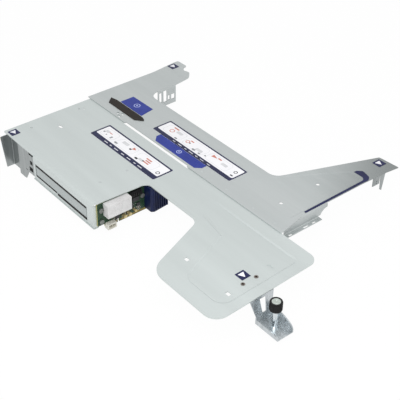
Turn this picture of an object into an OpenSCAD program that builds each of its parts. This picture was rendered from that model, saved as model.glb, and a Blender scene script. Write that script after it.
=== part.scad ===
// Riser cage bracket of a one-unit rack server.
// Two lapped steel sheets carry a card cage with an upright riser board, and a paddle with a captive
// thumbscrew on a pressed foot. +X runs across the server, +Y towards its front and +Z up. Plan sizes
// are measured from the rear left corner of the cage sheet, and every node is then moved so that the
// origin is the middle of the whole part's footprint, on the plane that it stands on.

/* [Sheets] */
// Thickness of both main sheets
sheet_t = 1.0; // [0.8:0.1:1.2]
// Inner radius of the folds
fold_r = 0.8; // [0.5:0.1:1.2]
// Height of the cage sheet's upper face over the stand plane
plate_top = 41.5; // [40:0.5:44]
// Depth of the pressed panels in the sheets
panel_deep = 0.9; // [0.6:0.1:1.2]
// Width of the slope round a pressed panel
panel_slope = 1.5; // [1:0.25:2.5]
// Depth in plan of the lap between the two sheets
lap_w = 11; // [8:0.5:14]

/* [Cage] */
// Width of the cage, left edge to the riser board's outer face
cage_w = 174; // [165:1:185]
// Where the two sheets meet, measured from the cage's left rear corner
joint_y = 108.4; // [100:1:118]
// How far the rear wall stands behind that corner
rear_out = 5.6; // [4:0.2:8]
// Height of the rear wall
rear_h = 31.5; // [28:0.5:34]
// Left end of the rear wall
rear_x = 60; // [56:1:66]
// Radius of the fold between the cage's top and its rear wall
rear_fold_r = 2.4; // [1:0.2:3]
// Width of the lip turned in under the rear wall
rear_lip = 5; // [3:0.5:8]
// Depth of the flange along the cage's left edge
side_flange_h = 9; // [6:0.5:14]

/* [Card slot] */
// Distance of the slot window from the wall's left end
slot_inset = 4; // [3:0.5:8]
// Length of the slot window
slot_l = 97; // [90:1:100]
// Drop of the slot window under the sheet's upper face
slot_drop = 9.5; // [8:0.5:12]
// Height of the slot window
slot_h = 15.5; // [14:0.5:16]
// Step down of the window's lower edge over its right part
slot_step = 1.6; // [1:0.1:2]
// Length of the left part of the window, before the step
slot_step_x = 42; // [30:1:50]
// Open gap over the slot cover
cover_gap = 1.6; // [1:0.1:2]
// Thickness of the slot cover
cover_t = 0.86; // [0.8:0.02:1]

/* [Paddle] */
// Rear edge of the paddle, behind the corner
paddle_rear = 19.5; // [15:0.5:25]
// Outer edge of the paddle at its rear end
paddle_x = 375.4; // [365:0.5:385]
// How much nearer that edge stands at its front end
paddle_taper = 4; // [0:0.5:6]
// Rear edge of the neck between cage and paddle
neck_y = 58.4; // [52:0.5:64]
// Where the neck's rear edge meets the paddle's slant
neck_x = 257; // [250:1:265]
// Width gained along the paddle's slant
slant_dx = 30; // [20:1:40]
// Corner radius of the paddle
paddle_r = 14; // [8:1:18]
// Inset of the paddle's pressed panel from its edges
paddle_inset = 15.5; // [12:0.5:18]

/* [Front sheet] */
// How far the front sheet's left edge stands outside the cage's
front_out = 3.9; // [2:0.1:5]
// Front edge of the cross strip
strip_y = 166.8; // [160:1:175]
// Inner edge of the left arm
left_arm_x = 36.4; // [32:0.5:42]
// Tip of the left arm
left_arm_y = 244.6; // [235:1:252]
// Outer edge of the right arm
right_arm_x = 314.2; // [308:0.5:320]
// Tip of the right arm
right_arm_y = 280.8; // [270:1:290]
// Where the right arm's inner edge starts on the strip
arm_root_x = 249.6; // [244:1:256]
// Width gained along that inner edge
arm_slant_dx = 43; // [36:1:48]
// Diameter of the locating holes in the right arm
arm_hole_d = 4; // [3:0.1:5]
// Distance between the locating holes
arm_hole_pitch = 51.4; // [45:0.2:58]
// Left end of the see-through slit at the joint
slit_x0 = 69; // [60:1:80]
// Right end of that slit
slit_x1 = 179; // [170:1:190]
// Width of that slit
slit_w = 3; // [2:0.1:4]

/* [Flanges] */
// Drop of the vented flange on the left arm
vent_h = 22.8; // [18:0.2:26]
// Rear end of the vented flange
vent_y = 179; // [175:0.5:182]
// Length of the vented flange
vent_l = 26.5; // [22:0.5:28]
// Drop of the right arm's side rail
rail_h = 12.6; // [10:0.2:16]
// Rear end of the rail
rail_y = 119; // [116:0.5:124]
// Length of the rail's straight lip
rail_l = 47; // [40:1:52]
// Width of the lip turned out under the rail
rail_lip = 6; // [4:0.25:8]

/* [Corner post] */
// Length of the post's lead-in flange at its top
post_flange = 12.5; // [10:0.5:14]
// Plan width of the post's channel
post_channel = 18; // [14:0.5:20]
// Plan depth of that channel
post_depth = 5; // [4:0.25:7]
// Place of the lead-in flange from the cage's left edge
post_x = 6.4; // [5:0.2:9]

/* [Riser board] */
// Length of the board
board_l = 77; // [70:1:80]
// Thickness of the board
board_t = 1.6; // [1.2:0.1:2]
// Height of the board
board_h = 32; // [28:0.5:34]
// Length of the slot connector
socket_l = 56; // [50:0.5:60]
// Width of the slot connector
socket_w = 7.5; // [7:0.1:8]
// How far the slot connector stands off the board
socket_h = 11.2; // [10:0.1:12]
// Length of the cable connector
header_l = 29; // [24:0.5:32]
// How far the cable connector stands off the board
header_out = 8.6; // [7:0.1:10]
// Height of the cable connector
header_h = 15; // [12:0.5:17]
// Length of the ribbed guide block
guide_l = 24; // [20:0.5:28]
// How far the guide block stands off the board
guide_out = 13; // [10:0.5:15]
// Number of ribs on the guide block
guide_ribs = 7; // [4:1:9]

/* [Foot and thumbscrew] */
// Height of the foot's underside over the stand plane
foot_z = 7.6; // [6:0.2:10]
// Thickness of the foot's sheet
foot_t = 1.2; // [1:0.1:1.5]
// How far the foot reaches past its back plate
foot_reach = 28; // [24:0.5:32]
// Plan width of the foot
foot_w = 19; // [17:0.5:22]
// Height of the foot's side walls at the back
foot_wall = 9; // [6:0.5:12]
// Place of the screw's axis from the back plate
screw_out = 13.6; // [11:0.2:15]
// Diameter of the knob
knob_d = 12.2; // [10:0.2:14]
// Height of the knob
knob_h = 9.4; // [8:0.2:12]
// Number of grip ribs round the knob
knob_ribs = 30; // [20:1:40]
// Diameter of the screw's shoulder
shoulder_d = 5.4; // [5:0.1:6]
// Diameter of the screw's threaded end
thread_d = 4; // [3:0.1:4.5]
// Axial travel of the captive screw
screw_travel = 3.6; // [2:0.1:4]
// Running clearance round the screw, on the radius
run_gap = 0.06; // [0.03:0.01:0.1]

/* [Labels] */
// Thickness of the printed labels
label_t = 0.2; // [0.1:0.05:0.3]
// Side of the square arrow labels
arrow_side = 10.4; // [8:0.2:12]

/* [Hidden] */

$fn = 48;
arc_step = 9;
touch = 0.01;
cut = 1;
front_top = plate_top + sheet_t;
fold_out = fold_r + sheet_t;
rear_fold_out = rear_fold_r + sheet_t;
board_x = cage_w - board_t;
board_y = -1.6;
board_z = plate_top - sheet_t - 0.6 - board_h;
guide_y = board_y + board_l - guide_l + 5;
header_y = board_y + 7.2;
strip_y0 = header_y + header_l + 2.8;
strip_y1 = guide_y - 5;
board_screw_places = [[2.6, 10], [2.6, 24], [guide_y - 3, 14]];
slant_k = slant_dx / (neck_y + paddle_rear);
paddle_front_x = paddle_x - paddle_taper;
arm_k = arm_slant_dx / (right_arm_y - strip_y);
back_plate_x = paddle_x - 3.6;
screw_x = back_plate_x + foot_t + screw_out;
screw_y = 41.6;
foot_y = screw_y - foot_w / 2;
foot_top = foot_z + foot_t;
bush_top = foot_top + 1.2;
bush_r = 3.8;
knob_z = plate_top - 1.6 - knob_h;
post_foot_z = plate_top - rear_h + fold_out + 0.3;
rivet_r = 1.6;
rivet_head_r = 2.4;
rivet_head_h = 0.7;
hole_gap = 0.05;
guard_x0 = 23;
guard_x1 = 72;
guard_y = 124.6;
guard_w = 9;
arm_hole_x = 286;
arm_hole_y = 142.3;
rail_x = right_arm_x + 1.4;
lap_x = rail_x - fold_out - 1;

// Extent of the whole part in plan
x_low = -front_out * 2;
x_high = back_plate_x + foot_t + foot_reach;
y_low = -paddle_rear;
y_high = right_arm_y;
mid_x = (x_low + x_high) / 2;
mid_y = (y_low + y_high) / 2;

// Moves plan sizes, which start at the cage's corner, to the part's own origin
module placed() { translate([-mid_x, -mid_y, 0]) children(); }

// Unit vector along v
function unit(v) = v / norm(v);

// Turn from angle a to angle b, the short way
function short_turn(a, b) = let (d = b - a) d > 180 ? d - 360 : d < -180 ? d + 360 : d;

// Corner i of outline p, whose points are [x, y, radius], as an arc of short chords
function corner_arc(p, i) = let (
    n = len(p),
    b = [p[i].x, p[i].y],
    u = unit([p[(i + n - 1) % n].x, p[(i + n - 1) % n].y] - b),
    v = unit([p[(i + 1) % n].x, p[(i + 1) % n].y] - b),
    half = acos(u * v) / 2,
    centre = b + unit(u + v) * p[i].z / sin(half),
    from = b + u * p[i].z / tan(half) - centre,
    to = b + v * p[i].z / tan(half) - centre,
    a = atan2(from.y, from.x),
    sweep = short_turn(a, atan2(to.y, to.x)),
    steps = max(2, ceil(abs(sweep) / arc_step)))
    [for (k = [0:steps]) centre + p[i].z * [cos(a + sweep * k / steps), sin(a + sweep * k / steps)]];

// Outline with each corner rounded by its own radius; a radius of 0 leaves it sharp
function rounded(p) = [for (i = [0:len(p) - 1]) each p[i].z > 0 ? corner_arc(p, i) : [[p[i].x, p[i].y]]];

// Flat sheet with rounded corners between heights z0 and z1
module slab(p, z0, z1) { translate([0, 0, z0]) linear_extrude(z1 - z0) polygon(rounded(p)); }

// Upright round hole or pin through heights z0 to z1
module post_at(x, y, r, z0, z1) { translate([x, y, z0]) cylinder(h = z1 - z0, r = r); }

// Ring sector of a fold that turns by angle a, between radii r and r + t, starting at -90 degrees
module fold_sector(r, t, a) {
    intersection() {
        difference() {
            circle(r + t);
            circle(r);
        }
        polygon([[0, 0], for (k = [0:4]) 2 * (r + t) * [sin(a * k / 4), -cos(a * k / 4)]]);
    }
}

// Section of a folded sheet: steps are [flat length, turn after it]; a left turn is positive
module fold_section(steps, t = sheet_t, r = fold_r, i = 0) {
    turn = steps[i].y;
    square([steps[i].x, t]);
    if (i + 1 < len(steps)) translate([steps[i].x, 0]) {
        if (turn > 0) translate([0, t + r]) {
            fold_sector(r, t, turn);
            rotate(turn) translate([0, -t - r]) fold_section(steps, t, r, i + 1);
        } else translate([0, -r]) {
            mirror([0, 1]) fold_sector(r, t, -turn);
            rotate(turn) translate([0, r]) fold_section(steps, t, r, i + 1);
        }
    }
}

// Flange that folds down from an edge along +Y: origin at the edge, sheet to -X, going down to depth
module flange_down(length, depth, t = sheet_t, r = fold_r) {
    out = r + t;
    translate([-out, 0, 0]) rotate([90, 0, 180]) mirror([1, 0, 0])
        linear_extrude(length) translate([0, -t])
            fold_section([[touch, -90], [depth - out, 0]], t, r);
}

// Tray shape of a pressed panel: outline p at the top, drawn in by the slope at the bottom
module tray(p, inner, z, deep) {
    hull() {
        translate([0, 0, z]) linear_extrude(touch) polygon(rounded(p));
        translate([0, 0, z - deep]) linear_extrude(touch) polygon(rounded(inner));
    }
}

// Quadrilateral inset from given edges; each point is moved by its own [dx, dy]
function moved(p, d) = [for (i = [0:len(p) - 1]) [p[i].x + d[i].x, p[i].y + d[i].y, p[i].z]];

// Stadium-shaped hole of length l along X, from its centre
module slot_hole(x, y, l, w, z0, z1) {
    for (s = [-1, 1]) post_at(x + s * (l - w) / 2, y, w / 2, z0, z1);
    translate([x - (l - w) / 2, y - w / 2, z0]) cube([l - w, w, z1 - z0]);
}

// Rivet places that join the two sheets, and those of the post and board bracket
joint_rivets = [[12, joint_y + 6], [196, joint_y + 6], [236, joint_y + 6], [276, joint_y + 6],
                [lap_x - 6, joint_y + 6]];
cage_rivets = [[cage_w - 28.5, 22], [cage_w - 28.5, guide_y - 0.4]];
foot_rivets = [for (y = [33.1, 49]) [352.2, y]];
wall_rivets = [for (z = [10, 24]) [rear_x + 2, z]];

// ---------------------------------------------------------------- cage sheet

cage_outline = [[0, -rear_out, 1.5], [rear_x, -rear_out, 0], [rear_x, rear_fold_out - rear_out, 0],
    [cage_w - 1.6, rear_fold_out - rear_out, 0], [cage_w, rear_fold_out - rear_out, 0.8],
    [cage_w + 2.5, neck_y, 7], [neck_x, neck_y, 12],
    [neck_x + slant_dx, -paddle_rear, 22], [paddle_x, -paddle_rear, paddle_r],
    [paddle_front_x, joint_y + 0.8, 11], [lap_x, joint_y + 0.8, 0], [lap_x, joint_y + lap_w, 1],
    [slit_x1 + 2, joint_y + lap_w, 1], [slit_x1 + 2, joint_y - 1.1, 0], [slit_x0 - 2, joint_y - 1.1, 0],
    [slit_x0 - 2, joint_y + lap_w, 1], [4, joint_y + lap_w, 1], [4, joint_y, 0], [0, joint_y, 0]];

// Pressed panel of the paddle: outer and inner outline, drawn in by the slope
paddle_panel = [[paddle_front_x - paddle_inset + 5, joint_y - paddle_inset + 1, 6],
    [neck_x + 31, joint_y - paddle_inset + 1, 4], [neck_x + 31, neck_y + 1, 6],
    [neck_x + slant_dx + 26, 17 - paddle_rear, 12], [paddle_x - paddle_inset + 4, 17 - paddle_rear, 12]];
paddle_panel_in = moved(paddle_panel, panel_slope * [[-1, -1], [0, -1], [1, 0.4], [0.7, 1], [-1, 1]]);
neck_panel = [[neck_x + 36, neck_y + 2, 1], [neck_x + 36, joint_y - paddle_inset + 1, 1],
    [neck_x - 24, joint_y - paddle_inset + 1, 8], [neck_x - 14, neck_y + 12, 8]];
neck_panel_in = moved(neck_panel, panel_slope * [[0, 1], [0, -1], [10, -1], [10, 1]]);

module paddle_trays(z, deep) {
    tray(paddle_panel, paddle_panel_in, z, deep);
    tray(neck_panel, neck_panel_in, z, deep);
}

// Top with its rear wall, board flange and left side flange folded from one blank
module cage_folds() {
    rear_l = cage_w - 1.6 - rear_x;
    // Rear wall and its lower lip
    translate([rear_x, rear_fold_out - rear_out, plate_top - sheet_t]) rotate([90, 0, 90])
        linear_extrude(rear_l) mirror([1, 0]) {
            fold_section([[touch, -90], [rear_h - rear_fold_out - fold_out, 0]], sheet_t, rear_fold_r);
            translate([rear_fold_out, -(rear_h - rear_fold_out - fold_out) - rear_fold_r]) rotate(-90)
                fold_section([[touch, -90], [rear_lip, 0]]);
        }
    // Board flange turned forward from the wall's right end
    translate([cage_w - 1.6 - sheet_t, -rear_out, plate_top - rear_h + fold_out])
        cube([sheet_t, 14, rear_h - fold_out - rear_fold_out]);
    // Left side flange
    translate([0, 12, plate_top]) mirror([1, 0, 0]) flange_down(joint_y - 20, side_flange_h);
}

module slot_window() {
    x0 = rear_x + slot_inset;
    z1 = plate_top - slot_drop;
    translate([x0, -rear_out - cut, z1 - slot_h]) cube([slot_l, sheet_t + 2 * cut, slot_h]);
    translate([x0 + slot_step_x, -rear_out - cut, z1 - slot_h - slot_step])
        cube([slot_l - slot_step_x, sheet_t + 2 * cut, slot_h]);
}

module cage_sheet() {
    color("lightsteelblue") placed() difference() {
        union() {
            slab(cage_outline, plate_top - sheet_t, plate_top);
            cage_folds();
            translate([0, 0, -sheet_t]) paddle_trays(plate_top, panel_deep);
        }
        paddle_trays(plate_top + touch, panel_deep + touch);
        slot_window();
        // Oval and round holes of the cage's top
        slot_hole(30.3, 48.6, 7, 3.2, plate_top - 2 * sheet_t, plate_top + cut);
        for (p = [[12.9, 22], [11.6, 85.4], [14.2, 90.5]])
            post_at(p.x, p.y, 1.3, plate_top - 2 * sheet_t, plate_top + cut);
        // Two square holes and a stadium-shaped hollow of the paddle
        slot_hole(350, 68, 7, 3, plate_top - panel_deep - 0.4, plate_top + cut);
        for (p = [[295, 15], [353.6, 14.6]])
            translate([p.x - 2.6, p.y - 1.9, plate_top - 3]) cube([5.2, 3.8, 5]);
        // Windows that show through the lap
        lap_windows(plate_top - 2 * sheet_t, plate_top + cut);
        for (p = concat(joint_rivets, cage_rivets, foot_rivets))
            post_at(p.x, p.y, rivet_r + hole_gap, plate_top - 4, plate_top + cut);
        for (p = wall_rivets) wall_hole(p.x, plate_top - p.y);
        for (i = [0, 1]) translate([cage_w - 5, board_screw_places[i].x, plate_top - board_screw_places[i].y])
            rotate([0, 90, 0]) cylinder(h = 8, r = 1.55);
    }
}

module wall_hole(x, z) {
    translate([x, -rear_out - cut, z]) rotate([-90, 0, 0])
        cylinder(h = 4, r = rivet_r + hole_gap);
}

module lap_windows(z0, z1) {
    for (p = [[45.5, 112.6, 3.6, 3.4], [50.5, 110.4, 6, 2.6], [50.5, 115.4, 4.4, 3]])
        translate([p.x, p.y, z0]) cube([p[2], p[3], z1 - z0]);
}

// ---------------------------------------------------------------- front sheet

front_outline = [[-front_out, joint_y, 0], [slit_x0, joint_y, 0], [slit_x0, joint_y + slit_w - 1.1, 0],
    [slit_x1, joint_y + slit_w - 1.1, 0], [slit_x1, joint_y, 0], [321.8, joint_y, 1],
    [right_arm_x, 147.3, 20], [right_arm_x, 229, 40],
    [right_arm_x + 1.2, 262, 30], [right_arm_x + 3.4, right_arm_y, 0],
    [arm_root_x + arm_slant_dx, right_arm_y - 1.6, 1.5], [arm_root_x, strip_y, 13],
    [left_arm_x, strip_y, 12], [left_arm_x, left_arm_y - 38, 2], [left_arm_x - 3.4, left_arm_y - 15.5, 9],
    [left_arm_x - 13, left_arm_y - 7, 5], [left_arm_x - 21, left_arm_y - 9.6, 1.2],
    [left_arm_x - 26, left_arm_y - 5.6, 1.2], [left_arm_x - 27.5, left_arm_y, 2.5],
    [-2 * front_out, left_arm_y, 2.5], [-2 * front_out, left_arm_y - 6, 0], [-front_out, left_arm_y - 42, 0]];

// Pressed panel of the right arm
arm_panel = [[right_arm_x - 3.5, 122, 6], [right_arm_x - 3.5, strip_y + 70, 7],
    [arm_root_x + 40.6, strip_y + 70, 5], [arm_root_x + 13, strip_y - 3, 14],
    [arm_root_x - 8, strip_y - 14, 4], [arm_root_x - 2, 122, 6]];
arm_panel_in = moved(arm_panel, panel_slope * [[-1, 11], [-1, -1], [1.1, -1], [1.1, -0.6], [10, -0.6], [12, 11]]);

// Right arm's side rail: wall folded down, with a lip turned out under it
module side_rail() {
    wall = rail_h - fold_out;
    translate([rail_x - fold_out, rail_y, front_top]) rotate([90, 0, 180]) mirror([1, 0, 0])
        linear_extrude(rail_l + 12) translate([0, -sheet_t])
            fold_section([[touch, -90], [wall - fold_out, 0]]);
    translate([rail_x - sheet_t, rail_y, front_top - wall]) rotate([90, 0, 180]) mirror([1, 0, 0])
        linear_extrude(rail_l) rotate(-90) fold_section([[touch, 90], [rail_lip - fold_out, 0]]);
}

// What the rail's blank loses: the raised front end, and the lip's slots and round corner
module rail_cuts() {
    z = front_top - rail_h;
    translate([rail_x - 3, rail_y + rail_l + 12, z - fold_out]) rotate([0, 90, 0]) cylinder(h = 6, r = 10);
    for (s = [[5, 5], [26, 7], [37, 5]])
        slot_hole_y(rail_x + rail_lip / 2 + 0.4, rail_y + s.x, s.y, 2, z - 2 * sheet_t, z + 2 * sheet_t);
}

// Stadium-shaped hole of length l along Y
module slot_hole_y(x, y, l, w, z0, z1) {
    for (s = [-1, 1]) post_at(x, y + s * (l - w) / 2, w / 2, z0, z1);
    translate([x - w / 2, y - (l - w) / 2, z0]) cube([w, l - w, z1 - z0]);
}

// Vents of the left arm's flange: [place, width, drop of the top, height]
module vent_cuts() {
    for (v = [[1.8, 3.8, 2.8, 12.8], [8, 5, 1.6, 15], [14.6, 3, 9.6, 6], [19.6, 5.2, 9.6, 6.8]])
        translate([left_arm_x - 3, vent_y + v.x, front_top - sheet_t - v[2] - v[3]])
            cube([5, v.y, v[3]]);
}

module front_sheet() {
    color("silver") placed() difference() {
        union() {
            slab(front_outline, plate_top, front_top);
            translate([0, 0, -sheet_t]) tray(arm_panel, arm_panel_in, front_top, panel_deep);
            side_rail();
            translate([left_arm_x + fold_r, vent_y, front_top]) flange_down(vent_l, vent_h);
            translate([-front_out, 126, front_top]) mirror([1, 0, 0]) flange_down(70, side_flange_h);
        }
        tray(arm_panel, arm_panel_in, front_top + touch, panel_deep + touch);
        rail_cuts();
        vent_cuts();
        for (s = [0, 1])
            post_at(arm_hole_x, arm_hole_y + s * arm_hole_pitch, arm_hole_d / 2, plate_top - 3, front_top + cut);
        lap_windows(plate_top - cut, front_top + cut);
        guard_outline(0.1, plate_top - cut, front_top + cut);
        for (p = joint_rivets) post_at(p.x, p.y, rivet_r + hole_gap, plate_top - cut, front_top + cut);
    }
}

// Guide riveted under the right arm's tip: a short flange and a tapered lead-in tab
module tip_guide() {
    x = right_arm_x + 0.6;
    color("gainsboro") placed() {
        difference() {
            translate([x - 9, 246, plate_top - sheet_t]) cube([9, 18, sheet_t]);
            post_at(x - 5, 256, rivet_r + hole_gap, plate_top - 3, plate_top + 1);
        }
        difference() {
            translate([x - sheet_t, 246, plate_top - 10.5]) cube([sheet_t, 10, 9.5]);
            for (z = [5.5, 8]) translate([x - 3, 251.5, plate_top - z]) rotate([0, 90, 0])
                cylinder(h = 4, r = 0.8);
        }
        translate([x - sheet_t, 0, 0]) rotate([90, 0, 90]) linear_extrude(sheet_t)
            polygon([[257.4, plate_top - sheet_t], [258.9, plate_top - 19.5], [261.3, plate_top - 21],
                     [264, plate_top - sheet_t]]);
    }
}

// ---------------------------------------------------------------- corner post and slot

module corner_post() {
    low = 0;
    high = plate_top - sheet_t;
    floor_y = post_depth - rear_out;
    side = post_depth - 2 * fold_out;
    wall = rear_x + slot_inset + 0.3 - (post_x + 2 * fold_out + post_channel - 2 * fold_out + 2 * fold_out);
    color("darkgray") placed() difference() {
        translate([post_x + sheet_t, floor_y - fold_r - post_flange, low]) linear_extrude(high - low)
            rotate(90) fold_section([[post_flange, -90], [post_channel - 2 * fold_r, -90],
                                     [side, 90], [wall, 0]]);
        // Lead-in taper of the flange
        translate([post_x - 1, floor_y - fold_r - post_flange, low]) rotate([90, 0, 90])
            linear_extrude(sheet_t + 2) polygon([[-1, -1], [4.2, -1], [0, high - low - 2], [-1, high]]);
        // Lower corner of the wall, cut away to the slot's foot
        translate([post_x + post_channel + 2, -rear_out - 3, 0]) rotate([90, 0, 0]) mirror([0, 0, 1])
            linear_extrude(9) polygon([[12, -1], [20, post_foot_z], [60, post_foot_z], [60, -1]]);
        // Open notch under the sheet, and the windows beside the slot
        translate([50, -rear_out - 3, plate_top - 5]) cube([30, 9, 6]);
        translate([51, -rear_out - 3, plate_top - 17]) cube([5, 9, 5]);
        translate([49, -rear_out - 3, plate_top - 26]) cube([7, 9, 5.6]);
        translate([43, -rear_out - 3, plate_top - 27]) rotate([-90, 0, 0]) cylinder(h = 9, r = 1.5);
        for (p = wall_rivets) wall_hole(p.x, plate_top - p.y);
    }
}

// Blanking cover of the card slot, with its foot turned back for the screw
module slot_cover() {
    x0 = rear_x + slot_inset + 0.5;
    z1 = plate_top - slot_drop - cover_gap;
    h = slot_h - cover_gap + 3;
    y = sheet_t - rear_out;
    color("silver") placed() difference() {
        union() {
            translate([x0 + 0.1, y, z1 - h]) cube([slot_l + 3.9, cover_t, h]);
            // Raised pan that fills the window
            translate([x0 + 0.6, y - 0.7, z1 - slot_h + cover_gap + 0.4])
                cube([slot_l - 2.4, 0.7 + touch, slot_h - cover_gap - 0.8]);
            translate([x0 + 0.1, y, z1 - h + 2]) cube([cover_t, 11, h - 4]);
        }
        translate([x0 - cut, y + 7, z1 - h / 2]) rotate([0, 90, 0]) cylinder(h = 4, r = 1.8);
    }
}

module cover_screw() {
    x0 = rear_x + slot_inset + 0.6;
    z = plate_top - slot_drop - cover_gap - (slot_h - cover_gap + 3) / 2;
    color("dimgray") placed() translate([x0, sheet_t - rear_out + 7, z]) rotate([0, 90, 0]) {
        translate([0, 0, -2.2]) cylinder(h = 2.2, r = 3.2);
        translate([0, 0, -touch]) cylinder(h = 6, r = 1.7);
    }
}

// ---------------------------------------------------------------- riser board

// Angle under the cage's top that holds the board's front end
module board_bracket() {
    x = board_x;
    y = board_screw_places[2].x;
    color("lightgray") placed() difference() {
        union() {
            translate([x - 32, 16, plate_top - 2 * sheet_t]) cube([32, y - 10, sheet_t]);
            translate([x - sheet_t, 16, plate_top - 18]) cube([sheet_t, y - 10, 17 - sheet_t + touch]);
        }
        for (p = cage_rivets) post_at(p.x, p.y, rivet_r + hole_gap, plate_top - 4, plate_top);
        translate([x - 3, y, plate_top - board_screw_places[2].y]) rotate([0, 90, 0]) cylinder(h = 5, r = 1.55);
    }
}

module riser_board() {
    color("darkgreen") placed() difference() {
        translate([board_x, 0, board_z]) rotate([90, 0, 90]) linear_extrude(board_t)
            polygon(rounded([[board_y, 5, 0], [board_y + 8, 5, 0.5], [board_y + 9, 0, 0.8],
                [board_y + 66, 0, 0.8], [board_y + 67, 5, 0.5], [board_y + board_l, 5, 1],
                [board_y + board_l, board_h, 1], [board_y, board_h, 1]]));
        translate([board_x - 1, board_y + 24, board_z - 1]) cube([board_t + 2, 1.9, 8]);
        for (p = board_screw_places) translate([board_x - 1, p.x, plate_top - p.y]) rotate([0, 90, 0])
            cylinder(h = 4, r = 1.55);
    }
}

// Upright card socket: a long body with the card's groove and its key
module slot_connector() {
    z = plate_top - 23;
    y = 16;
    color("black") placed() difference() {
        translate([board_x - socket_h, y, z - socket_w / 2]) cube([socket_h, socket_l, socket_w]);
        for (s = [[1.4, 11.8], [15, socket_l - 16.4]])
            translate([board_x - socket_h - cut, y + s.x, z - 0.95]) cube([8 + cut, s.y, 1.9]);
    }
}

// Right-angled cable connector with its mouth to the front
module cable_connector() {
    y = header_y;
    z = plate_top - 2.4 - header_h;
    x = board_x + board_t;
    color("white") placed() difference() {
        union() {
            translate([x, y, z]) cube([header_out, header_l, header_h]);
            translate([x, y + 1.5, z - 2.2]) cube([header_out - 3.4, header_l - 9, 2.2 + touch]);
            translate([x + header_out - touch, y + 8, z + header_h - 6]) cube([1.4, 8, 3.4]);
        }
        for (i = [0, 1], k = [0:2])
            translate([x + 0.8 + i * 3.9, y + header_l - 8, z + 1.2 + k * 4.6]) cube([3.2, 9, 3.6]);
    }
}

module signal_header() {
    color("ivory") placed() difference() {
        translate([board_x + board_t, 7, board_z - 0.4]) cube([5.6, 10.4, 6.2]);
        translate([board_x + board_t + 1, 8, board_z + 0.6]) cube([5.6, 8.4, 4.2]);
    }
}

// Black strip with a row of bright pins
module pin_strip() {
    color("dimgray") placed() {
        translate([board_x + board_t, strip_y0, plate_top - 9.4]) cube([3, strip_y1 - strip_y0, 6]);
        for (y = [strip_y0 + 1.4:2.2:strip_y1 - 1.6]) translate([board_x + board_t + 3 - touch, y, plate_top - 8.6])
            cube([1.4, 0.9, 4.4]);
    }
}

module board_chips() {
    color("black") placed() for (c = [[20, 20, 9, 5, 1.6], [strip_y0 - 2.2, 18, 6, 6, 1.4],
                                      [strip_y0 + 3.6, 12, 8, 5, 1.6], [19, 25.5, 5, 3, 1],
                                      [strip_y1 - 5.4, 20.5, 4, 4, 1.2]])
        translate([board_x + board_t, c.x, plate_top - c.y - c[3]]) cube([c[4], c[2], c[3]]);
}

module board_capacitors() {
    color("silver") placed() for (p = [[29.6, 28, 2], [35.8, 28, 2], [42.6, 26.6, 1.6]])
        translate([board_x + board_t, p.x, plate_top - p.y]) rotate([0, 90, 0]) cylinder(h = 4.2, r = p.z);
}

// Moulded block at the board's front end, ribbed on its outer faces
module guide_block() {
    x = board_x + board_t;
    y = guide_y;
    top = plate_top - sheet_t - 0.8;
    h = 29;
    pitch = guide_l / (guide_ribs + 0.5);
    color("midnightblue") placed() difference() {
        union() {
            slab([[x, y, 0], [x + guide_out - 2, y, 2], [x + guide_out, y + 3, 3],
                  [x + guide_out - 2, y + guide_l, 5], [x, y + guide_l, 0]], top - h, top);
            for (i = [0:guide_ribs - 1])
                translate([x + guide_out - 3, y + 2.6 + i * pitch * 0.86, top - h + 2]) cube([3.6, 1.2, h - 4]);
        }
        // Hollow side of the block, towards the board's foot
        translate([x + 2.4, y + 3, top - h - cut]) cube([guide_out - 6.4, guide_l - 8, 12]);
    }
}

module board_screws() {
    color("gainsboro") placed() for (p = board_screw_places)
        translate([board_x, p.x, plate_top - p.y]) rotate([0, 90, 0]) {
            translate([0, 0, -3]) cylinder(h = 3 + board_t + touch, r = 1.5);
            translate([0, 0, board_t]) cylinder(h = 1.6, r = 2.7);
        }
}

// ---------------------------------------------------------------- fasteners

// Rivet that ends flush at z1, with its formed head under z0
module rivet(x, y, z0, z1) {
    post_at(x, y, rivet_r, z0 - touch, z1);
    post_at(x, y, rivet_head_r, z0 - rivet_head_h, z0);
}

module sheet_rivets() {
    color("gainsboro") placed() {
        for (p = joint_rivets) rivet(p.x, p.y, plate_top - sheet_t, front_top);
        for (p = cage_rivets) rivet(p.x, p.y, plate_top - 2 * sheet_t, plate_top);
        for (p = wall_rivets) translate([0, 0, plate_top - p.y]) rotate([90, 0, 0])
            rivet(p.x, 0, rear_out - 2 * sheet_t, rear_out);
    }
}

// Hollow rivets, open at the top
module bracket_rivets() {
    top = plate_top - panel_deep;
    color("gray") placed() for (p = foot_rivets) difference() {
        union() {
            rivet(p.x, p.y, top - sheet_t - foot_t, top);
            post_at(p.x, p.y, rivet_head_r - 0.3, top, top + 0.3);
        }
        post_at(p.x, p.y, rivet_r - 0.5, top - 1.6, top + cut);
    }
}

// Section of the edge guard in plan, grown by g
module guard_outline(g, z0, z1) {
    w = guard_w / 2 + g;
    slab([[guard_x0 - g, guard_y - w, 1], [guard_x1 + g, guard_y - w, 1],
          [guard_x1 + g, guard_y + w, 1], [guard_x0 - g, guard_y + w, 1]], z0, z1);
}

// Plastic guard pressed into the front sheet's slot, with thin tapering ends
module edge_guard() {
    z = front_top;
    w = guard_w / 2;
    color("black") placed() {
        guard_outline(0, plate_top - 0.6, z + touch);
        slab([[guard_x0 - 8, guard_y + w - 1.4, 0.3], [guard_x0 - 1, guard_y - w - 0.6, 1],
              [guard_x1 - 1, guard_y - w - 0.6, 2], [guard_x1 + 7, guard_y + w - 3, 0.5],
              [guard_x1 + 7, guard_y + w - 1.4, 0.5], [guard_x1 + 1, guard_y + w + 0.6, 1],
              [guard_x0 + 1, guard_y + w + 0.6, 1]], z, z + 0.7);
    }
}

// ---------------------------------------------------------------- foot and thumbscrew

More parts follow.
